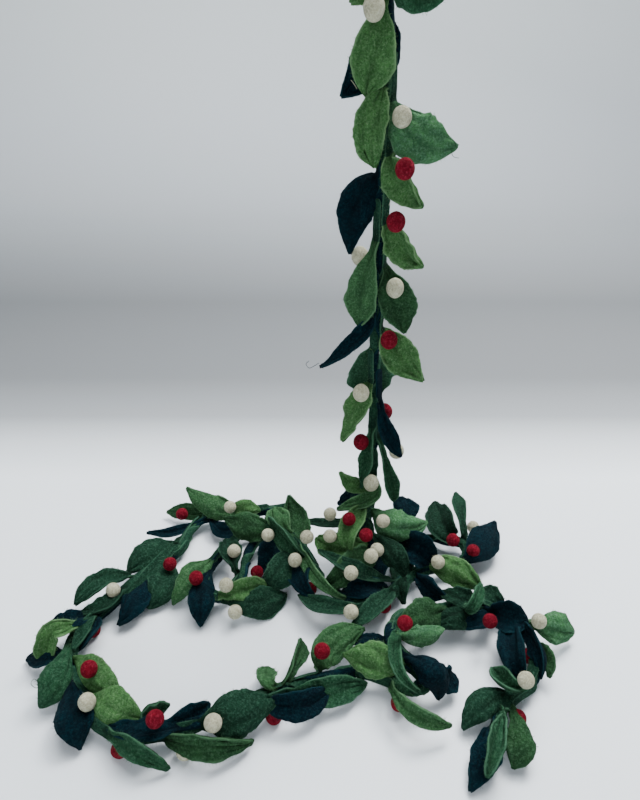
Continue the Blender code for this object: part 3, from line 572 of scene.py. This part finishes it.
def leaf_rib(leaf, hangs, low, high):
    """Middle line: down the stem's side for the stalk, then through the blade's middle to its hooked tip."""
    near = low + int(np.argmin(np.linalg.norm(stem_pixels[low:high] - np.array(leaf.root), axis=1)))
    halfway = (np.array(leaf.root) + np.array(leaf.tip)) / 2 + np.array(leaf.bend)
    middle, tip = place([halfway, leaf.tip], [leaf.middle, leaf.end], hangs)
    forward = 1 if np.dot(tip - stem_line[near], stem_heading[near]) >= 0 else -1
    out = middle - stem_line[near]
    out = unit(out - stem_heading[near] * np.dot(out, stem_heading[near]))
    u = np.linspace(0, 1, 17)[1:, None]
    root = stem_line[near] + out * STEM_WIDE * 0.50
    blade = 2 * (u - 0.5) * (u - 1) * root - 4 * u * (u - 1) * middle + 2 * u * (u - 0.5) * tip
    deep = np.linalg.norm(tip - EYE)
    hook = (leaf.hook[0] * RIGHT - leaf.hook[1] * UP) * deep / FOCAL
    blade = blade + smooth_step((u - 0.6) / 0.4) * hook
    stalk = []
    for back in (STALK, STALK * 0.67, STALK * 0.33):
        at = int(np.clip(near - forward * round(back / STEM_STEP), 0, len(stem_line) - 1))
        beside = unit(out - stem_heading[at] * np.dot(out, stem_heading[at]))
        stalk.append(stem_line[at] + beside * STEM_WIDE * 0.52)
    return np.vstack([stalk, root, blade]), out


print("stalk", STALK * 1000, "mm long,", STALK_WIDE * 1000, "mm wide")

# %% [markdown]
# A section with rounded cut edges is carried along the middle line. It is creased by the leaf's fold,
# crumpled by uneven waves, and lifted in soft pleats that run lengthways, as felt keeps them after
# handling. Narrow leaves are stiffer, so they get less of this relief. The rim wavers a little, because
# each leaf is cut by hand.

# %% A leaf's surface
PLEAT = 0.0011
FULL_RELIEF_WIDE = 22
CRUMPLE = 0.26


def leaf_directions(leaf, rib, u, out, rng):
    """Normal and side of each ring: facing the eye, then rolled and twisted by u, but flat to the stem at the
    stalk."""
    tangent = unit(np.gradient(rib, axis=0))
    facing = EYE - rib[ALONG // 2]
    normal = unit(facing - tangent * (tangent @ facing)[:, None])
    side = np.cross(tangent, normal)
    roll = math.radians(leaf.roll) + math.radians(leaf.twist + rng.uniform(-10, 10)) * (u - 0.5)
    normal = normal * np.cos(roll)[:, None] + side * np.sin(roll)[:, None]
    away = unit(out - tangent * (tangent @ out)[:, None])
    away = away * np.where(np.sum(away * normal, axis=1, keepdims=True) < 0, -1, 1)
    spread = smooth_step((u + 0.05) / 0.22)[:, None]
    normal = unit(away * (1 - spread) + normal * spread)
    normal = unit(normal - tangent * np.sum(tangent * normal, axis=1, keepdims=True))
    return normal, np.cross(tangent, normal), spread


def leaf_section(leaf, half, u, v, spread, rng):
    """The section leans by fold x tanh(2 v) at each share v of its half width, so its middle is creased. The
    sums of cos and sin of that angle say how far it reaches over and up, and waves and pleats add to up."""
    gather = 1 + 0.9 * np.exp(-((u - 0.08) / 0.12) ** 2) * (u > -0.2)
    lean_angle = math.radians(leaf.fold) * gather[:, None] * np.tanh(2.0 * v) / math.tanh(2.0) * spread
    lean_angle = lean_angle + CRUMPLE * waves(rng, u[:, None], v, count=5, finest=2.2) * spread
    step = np.diff(half[:, None] * v * (1 - leaf.lean * np.sign(v)), axis=1)
    middle_angle = (lean_angle[:, 1:] + lean_angle[:, :-1]) / 2
    none = np.zeros((ALONG, 1))
    over = np.concatenate([none, np.cumsum(step * np.cos(middle_angle), axis=1)], axis=1)
    rise = np.concatenate([none, np.cumsum(step * np.sin(middle_angle), axis=1)], axis=1)
    centre = ACROSS // 2
    over -= over[:, centre : centre + 1]
    rise -= rise[:, centre : centre + 1]
    folds = waves(rng, u[:, None] * 0.35, v * 1.3, count=5, finest=3.4)
    uneven = waves(rng, u[:, None], v, count=6, finest=4.5) * (0.0005 + 0.0013 * v**2)
    relief = min(1.0, (leaf.wide / FULL_RELIEF_WIDE) ** 1.5)
    return over, rise + (uneven + folds * PLEAT) * relief * spread, folds


def leaf_sleeve(leaf, hangs, low, high, rng):
    """Sheet = rib + side x over + normal x up, kept above the surface. Both faces lie thickness / 2 x
    sqrt(1 - v ** 6) from it, so the cut edge is round."""
    points, out = leaf_rib(leaf, hangs, low, high)
    rib = smooth_line(points, count=ALONG)
    total = np.linalg.norm(np.diff(rib, axis=0), axis=1).sum()
    stalk_share = np.linalg.norm(np.diff(points[:4], axis=0), axis=1).sum() / total
    s = np.linspace(0, 1, ALONG)
    u = (s - stalk_share) / (1 - stalk_share)
    normal, side, spread = leaf_directions(leaf, rib, u, out, rng)
    start = STALK_WIDE / 2 * np.sqrt(np.clip((s + 0.004) / 0.03, 0, 1))
    half = np.where(u < 0, start, half_width(u, leaf.wide / 1000, leaf.peak))
    half = half * (1 + 0.055 * waves(rng, u, 0 * u, finest=6) + 0.035 * waves(rng, u, 0 * u, finest=16))
    v = -np.cos(np.linspace(0, math.pi, ACROSS))
    over, rise, folds = leaf_section(leaf, half, u, v, spread, rng)

    sheet = rib[:, None] + side[:, None] * over[..., None] + normal[:, None] * rise[..., None]
    sheet[..., 2] = np.maximum(sheet[..., 2], FELT_THICK / 2 + FLOOR_GAP)
    lean = np.cross(np.gradient(sheet, axis=1), np.gradient(sheet, axis=0))
    lean = unit(lean * np.where(np.sum(lean * normal[:, None], axis=(1, 2)) < 0, -1, 1)[:, None, None])
    thick = FELT_THICK / 2 * np.sqrt(np.clip(1 - np.abs(v) ** 6, 0, 1))
    front = sheet + lean * thick[:, None]
    back = sheet - lean * thick[:, None]
    grid = np.concatenate([front, back[:, -2:0:-1]], axis=1)
    grid[..., 2] = np.maximum(grid[..., 2], FLOOR_GAP)
    shares = np.concatenate([v, v[-2:0:-1]])
    edge = np.clip((np.abs(shares) - 0.88) / 0.12, 0, 1) ** 1.5 * np.ones((ALONG, 1))
    # Painted shade, stored per point: darker in the troughs of the pleats and where the stalk leaves the
    # stem; the back face is painted darker where the front is lighter.
    root_shade = np.exp(-((u[:, None] - 0.02) / 0.13) ** 2)
    painted_shade_front = np.clip(0.25 - 0.55 * folds, 0, 1) * (1 - np.abs(v)) + 0.75 * root_shade
    hollow = np.concatenate([painted_shade_front, np.clip(0.5 - painted_shade_front, 0, 1)[:, -2:0:-1]], axis=1)
    area = float(np.sum((half[1:] + half[:-1]) * np.diff(s * total)))
    return grid, (edge, np.clip(hollow, 0, 1)), total, area, (sheet, lean, side), u < 0.02


# %% [markdown]
# Each row of the plan now becomes one leaf. Its stalk takes the stem's felt, or blue-black on a dark
# leaf, so that it looks sewn down. Where its loose fibres will grow is noted for later.

# %% Sewing on the leaves
RIM_FIBRE = 0.0016
FACE_FIBRE = 0.0012
ROOT_DEPTH = 0.0002
leaf_pieces = []
fibres = collections.defaultdict(list)


def fibre_roots(frame_of_leaf, rng, rim=170, face=130):
    """Where loose fibres grow: along the rim, pointing outward, and over both faces, pointing aside."""
    sheet, lean, side = frame_of_leaf
    rows = rng.integers(3, ALONG - 1, rim)
    ends = rng.integers(0, 2, rim)
    outward = side[rows] * np.where(ends == 0, -1, 1)[:, None]
    at_rim = ends * (ACROSS - 1)
    base = sheet[rows, at_rim] - outward * ROOT_DEPTH
    aim = outward + rng.normal(0, 0.55, (rim, 3)) + lean[rows, at_rim] * rng.normal(0, 0.4, (rim, 1))
    over, across = rng.integers(4, ALONG - 1, face), rng.integers(2, ACROSS - 2, face)
    up = lean[over, across] * rng.choice([-1, 1], (face, 1))
    start = sheet[over, across] + up * (FELT_THICK / 2 - ROOT_DEPTH / 2)
    turn = up * 0.7 + rng.normal(0, 0.7, (face, 3))
    lengths = np.repeat([RIM_FIBRE, FACE_FIBRE], [rim, face])
    return np.vstack([base, start]), unit(np.vstack([aim, turn])), lengths


for count, stretch in enumerate(STRETCHES):
    for number, leaf in enumerate(stretch.leaves, 1):
        rng = np.random.default_rng(100 * count + number)
        made = leaf_sleeve(leaf, stretch.hangs, seams[count], seams[count + 1], rng)
        # The leaf's painted shade travels with it into its mesh.
        grid, (edge, hollow), total, area, frame_of_leaf, stalk = made
        piece = close_sleeve(f"{stretch.name}_leaf_{number:02d}", grid, cut_edge=edge, hollow=hollow)
        piece.data.materials.append(felts[leaf.tone])
        piece.data.materials.append(felts["dark" if leaf.tone == "dark" else "stem"])
        rings = np.zeros(len(piece.data.polygons), dtype=np.int32)
        rings[: (ALONG - 1) * grid.shape[1]] = np.repeat(stalk[:-1], grid.shape[1])
        piece.data.polygons.foreach_set("material_index", rings)
        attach(piece, "root")
        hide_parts(stretch.name)
        fibres[leaf.tone].append(fibre_roots(frame_of_leaf, rng))
        leaf_pieces.append(piece)
print("leaves:", len(leaf_pieces), "last one", round(total * 1000), "mm long,", round(area * 1e6), "mm2")

# %% [markdown]
# The berries are felted by rolling, so they are nearly round, a little uneven, and denser than the leaves.
# Most take their place from their own CAD ball. A sphere in longitude and latitude closes at two poles.
# Eight more peep out from under leaves and have no ball in the model. A soft brush of short fibres covers
# each one.

# %% Berries
BERRY_RADIUS = {"tail": 0.0048, "hanging_strand": 0.0058}
LYING_RADIUS = 0.0050
HUNG_TALL = 1.12
BERRY_FIBRES = 45
BERRY_FIBRE = 0.0010
RINGS = 20
ROUND = 28


def berry_sleeve(centre, radius, tall, rng):
    """Centre + radius x (cos, sin) of longitude and latitude, stretched in height, with soft waves."""
    latitude = np.linspace(-math.pi / 2, math.pi / 2, RINGS + 2)[1:-1, None]
    longitude = np.arange(ROUND)[None, :] * 2 * math.pi / ROUND
    uneven = 1 + 0.022 * waves(rng, latitude / math.pi, np.sin(longitude) / 3)
    shape = np.stack([np.cos(latitude) * np.cos(longitude), np.cos(latitude) * np.sin(longitude),
                      np.sin(latitude) * tall * np.ones_like(longitude)], axis=-1)
    return centre + radius * uneven[..., None] * shape


def add_berry(number, centre, radius, tall, tone):
    """One ball of felt with fibres that stand out all round it."""
    rng = np.random.default_rng(900 + number)
    shape = berry_sleeve(centre, radius, tall * rng.uniform(0.97, 1.05), rng)
    piece = close_sleeve(f"felt_berry_{number:02d}", shape)
    piece.data.materials.append(felts[tone])
    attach(piece, "root")
    outward = unit(rng.normal(0, 1, (BERRY_FIBRES, 3)))
    aims = unit(outward + rng.normal(0, 0.8, (BERRY_FIBRES, 3)))
    fibres[tone].append((centre + outward * radius * 0.96, aims, np.full(BERRY_FIBRES, BERRY_FIBRE)))
    return piece


number = 0
for stretch in STRETCHES:
    for berry in stretch.berries:
        number += 1
        low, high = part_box(f"berry_{number:02d}")
        centre = (np.array(low) + np.array(high)) / 2 + TOP_END
        if berry.pixel:
            centre = place([berry.pixel], [berry.height], False)[0]
        radius = BERRY_RADIUS.get(stretch.name, LYING_RADIUS)
        piece = add_berry(number, centre, radius, HUNG_TALL if stretch.hangs else 1.0, berry.felt)
        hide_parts(f"berry_{number:02d}")

HALF_HIDDEN = [Berry("red", (93, 630), 6), Berry("red", (529, 656), 10), Berry("red", (384, 606), 8),
               Berry("red", (399, 703), 6), Berry("red", (281, 527), 15), Berry("red", (257, 572), 6),
               Berry("white", (390, 672), 9), Berry("red", (310, 589), 9)]
for berry in HALF_HIDDEN:
    number += 1
    add_berry(number, place([berry.pixel], [berry.height], False)[0], LYING_RADIUS, 1.0, berry.felt)
print("berries:", number)

# %% [markdown]
# Wool felt is never clean at its edge. Loose fibres stand out from the rims and lie over the faces, and
# they make the outline soft. Each is a thin tapered spike with three sides and a bend halfway, and one mesh
# holds all the fibres of a tone.

# %% Loose fibres
FIBRE_HALF = 0.00006


def spikes(name, roots, aims, lengths, tone, rng):
    """A ring of three at the root, a smaller one halfway, pushed aside by a bend, and a point at the end."""
    count = len(roots)
    lengths = (lengths * rng.uniform(0.5, 1.5, count))[:, None]
    bend = unit(rng.normal(0, 1, (count, 3))) * lengths * 0.30
    first = unit(np.cross(aims, unit(rng.normal(0, 1, (count, 3)))))
    second = np.cross(aims, first)
    angle = np.arange(3) * 2 * math.pi / 3
    ring = np.cos(angle)[None, :, None] * first[:, None] + np.sin(angle)[None, :, None] * second[:, None]
    ring = ring * FIBRE_HALF
    low = roots[:, None] + ring
    mid = (roots + aims * lengths * 0.5 + bend * 0.7)[:, None] + ring * 0.7
    tip = (roots + aims * lengths + bend)[:, None]
    points = np.concatenate([low, mid, tip], axis=1)
    points[..., 2] = np.maximum(points[..., 2], FLOOR_GAP)
    k = np.arange(3)
    after = (k + 1) % 3
    base = (np.arange(count) * 7)[:, None, None]
    walls = base + np.stack([k, after, after + 3, k + 3], axis=1)[None]
    caps = base + np.stack([k + 3, after + 3, np.full(3, 6)], axis=1)[None]
    feet = base[:, 0] + np.array([[2, 1, 0]])
    mesh = bpy.data.meshes.new(name)
    faces = walls.reshape(-1, 4).tolist() + caps.reshape(-1, 3).tolist() + feet.reshape(-1, 3).tolist()
    mesh.from_pydata((points.reshape(-1, 3) - TOP_END).tolist(), [], faces)
    mesh.attributes.new("cut_edge", "FLOAT", "POINT").data.foreach_set("value", np.ones(count * 7))
    mesh.materials.append(felts[tone])
    made = bpy.data.objects.new(name, mesh)
    bpy.context.scene.collection.objects.link(made)
    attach(made, "root")


for order, (tone, groups) in enumerate(sorted(fibres.items())):
    roots, aims, lengths = (np.concatenate(parts) for parts in zip(*groups))
    spikes(f"fibres_{tone}", roots, aims, lengths, tone, np.random.default_rng(7000 + order))
    print("fibres of", tone, "felt:", len(roots))

# %% [markdown]
# Here and there one long fibre has worked out of the felt, curled at a leaf's tip or lying white on a dark
# face. Each is drawn through a few listed places, as pixels with a height or a distance in mm, because no
# rule sets its curl.

# %% Stray fibres
STRAY_HALF = 0.00016
STRAY_FIBRES = {
    "curl_at_low_leaf": ("dark", True, [(319, 363, 12), (314, 366, 13), (309, 368, 14), (306, 364, 15),
                                        (309, 361, 16)]),
    "curl_at_broad_leaf": ("mid", True, [(455, 149, 2), (452, 153, 3), (454, 157, 5), (459, 158, 6)]),
    "loop_at_left_leaf": ("pine_painted_shade", False, [(40, 684, 8), (34, 679, 9), (31, 684, 8), (36, 688, 6),
                                          (40, 685, 4)]),
    "white_on_dark_leaf": ("white", True, [(351, 80, -6), (354, 84, -6), (357, 89, -6)]),
    "white_by_stem": ("white", True, [(390, 193, 8), (391, 199, 9), (389, 205, 8)]),
}


def stray_fibre(name, tone, hangs, rows):
    """A ring of six carried along a smooth line through its few places: centre + half width x (cos, sin)."""
    rows = np.array(rows, float)
    line = smooth_line(place(rows[:, :2], rows[:, 2], hangs), count=28)
    heading = unit(np.gradient(line, axis=0))
    side = carried_sides(line, heading, (0.3, 0.5, 0.8))
    turn = (np.arange(6) * math.pi / 3)[None, :, None]
    ring = np.cos(turn) * side[:, None] + np.sin(turn) * np.cross(heading, side)[:, None]
    made = close_sleeve(name, line[:, None] + ring * STRAY_HALF)
    made.data.materials.append(felts[tone])
    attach(made, "root")


for name, (tone, hangs, rows) in STRAY_FIBRES.items():
    stray_fibre(name, tone, hangs, rows)
print("stray fibres:", len(STRAY_FIBRES))

# %% [markdown]
# The stage is a pale paper sheet that lies flat and rises far behind in one wide curve, as a photographer's
# paper does. Broad soft lamps stand for the daylight of a room, brightest from the upper right and a little
# behind, so the shadows fall softly to the lower left, close under the leaves. The paper's colour carries
# painted shade that changes slowly with its depth: white under the garland, grey behind it, and paler again
# far back.

# %% Floor and light
def paper_sheet():
    """Height = 0 as far as flat, then a quarter circle of radius rise, then straight up, at every x."""
    flat, rise, wide = 1.3, 1.2, 6.0
    turn = np.linspace(0, math.pi / 2, 40)
    depth = np.concatenate([[-5.0, 0.0, 0.5], flat + rise * np.sin(turn), [flat + rise]])
    height = np.concatenate([[0.0, 0.0, 0.0], rise * (1 - np.cos(turn)), [4.0]]) - DROP
    left = np.stack([np.full(len(depth), -wide), depth, height], axis=1)
    right = left * (-1, 1, 1)
    count = len(depth)
    steps = np.arange(count - 1)
    faces = np.stack([steps, steps + count, steps + count + 1, steps + 1], axis=1)
    mesh = bpy.data.meshes.new("paper_sheet")
    mesh.from_pydata(np.vstack([left, right]).tolist(), [], faces.tolist())
    mesh.shade_smooth()
    made = bpy.data.objects.new("paper_sheet", mesh)
    bpy.context.scene.collection.objects.link(made)
    return made


# Painted shade on the paper: white in front, a grey band behind the garland, paler far back.
PAINTED_PAPER_SHADES = ((0.0, 0.80), (0.165, 0.80), (0.187, 0.56), (0.207, 0.29), (0.243, 0.18), (0.35, 0.155),
          (0.443, 0.245), (0.600, 0.42), (0.80, 0.72), (1.0, 1.0))


def paper_with_painted_shade():
    """Colour = a painted shade read from the table above at the share of the way from 0.4 m in front to 2.6 m
    behind.
    """
    paper = bpy.data.materials.new("paper")
    paper.use_nodes = True
    nodes, links = paper.node_tree.nodes, paper.node_tree.links
    shader = nodes["Principled BSDF"]
    shader.inputs["Roughness"].default_value = 0.8
    shader.inputs["Specular IOR Level"].default_value = 0.1
    place_in = nodes.new("ShaderNodeTexCoord")
    split = nodes.new("ShaderNodeSeparateXYZ")
    links.new(place_in.outputs["Object"], split.inputs[0])
    depth = nodes.new("ShaderNodeMapRange")
    depth.inputs["From Min"].default_value = -0.4
    depth.inputs["From Max"].default_value = 2.6
    links.new(split.outputs["Y"], depth.inputs["Value"])
    ramp = nodes.new("ShaderNodeValToRGB")
    while len(ramp.color_ramp.elements) < len(PAINTED_PAPER_SHADES):
        ramp.color_ramp.elements.new(0.5)
    for element, (at, shade) in zip(ramp.color_ramp.elements, PAINTED_PAPER_SHADES):
        element.position = at
        element.color = (shade * 0.92, shade * 0.985, min(1.0, shade * 1.05), 1)
    links.new(depth.outputs["Result"], ramp.inputs["Fac"])
    links.new(ramp.outputs["Color"], shader.inputs["Base Color"])
    return paper


def soft_lamp(name, spot, aim, power, wide, tint):
    """A square lamp at a spot, turned to face its aim."""
    data = bpy.data.lights.new(name, "AREA")
    data.shape = "SQUARE"
    data.size = wide
    data.energy = power
    data.color = tint
    lamp = bpy.data.objects.new(name, data)
    lamp.location = spot
    lamp.rotation_euler = (Vector(aim) - Vector(spot)).to_track_quat("-Z", "Y").to_euler()
    bpy.context.scene.collection.objects.link(lamp)


paper_sheet().data.materials.append(paper_with_painted_shade())
soft_lamp("window", (0.50, 0.50, 0.80), (0, 0, -0.35), 30.0, 0.50, (1.0, 0.99, 0.97))
soft_lamp("ceiling", (0.1, 0.1, 1.3), (0, 0, -0.4), 27.0, 1.1, (0.97, 0.99, 1.0))
soft_lamp("fill", (-0.35, -1.15, 0.10), (0, 0, -0.2), 10.0, 0.8, (0.95, 0.98, 1.0))
soft_lamp("overhead", (0.0, 1.5, 2.4), (0, 2.4, 0.5), 70.0, 2.4, (0.97, 0.99, 1.0))
world = bpy.context.scene.world or bpy.data.worlds.new("room")
bpy.context.scene.world = world
world.use_nodes = True
daylight = world.node_tree.nodes["Background"]
daylight.inputs["Color"].default_value = (0.84, 0.88, 0.92, 1)
daylight.inputs["Strength"].default_value = 0.22
print("stage: one paper sheet, four soft lamps and dim daylight all round")
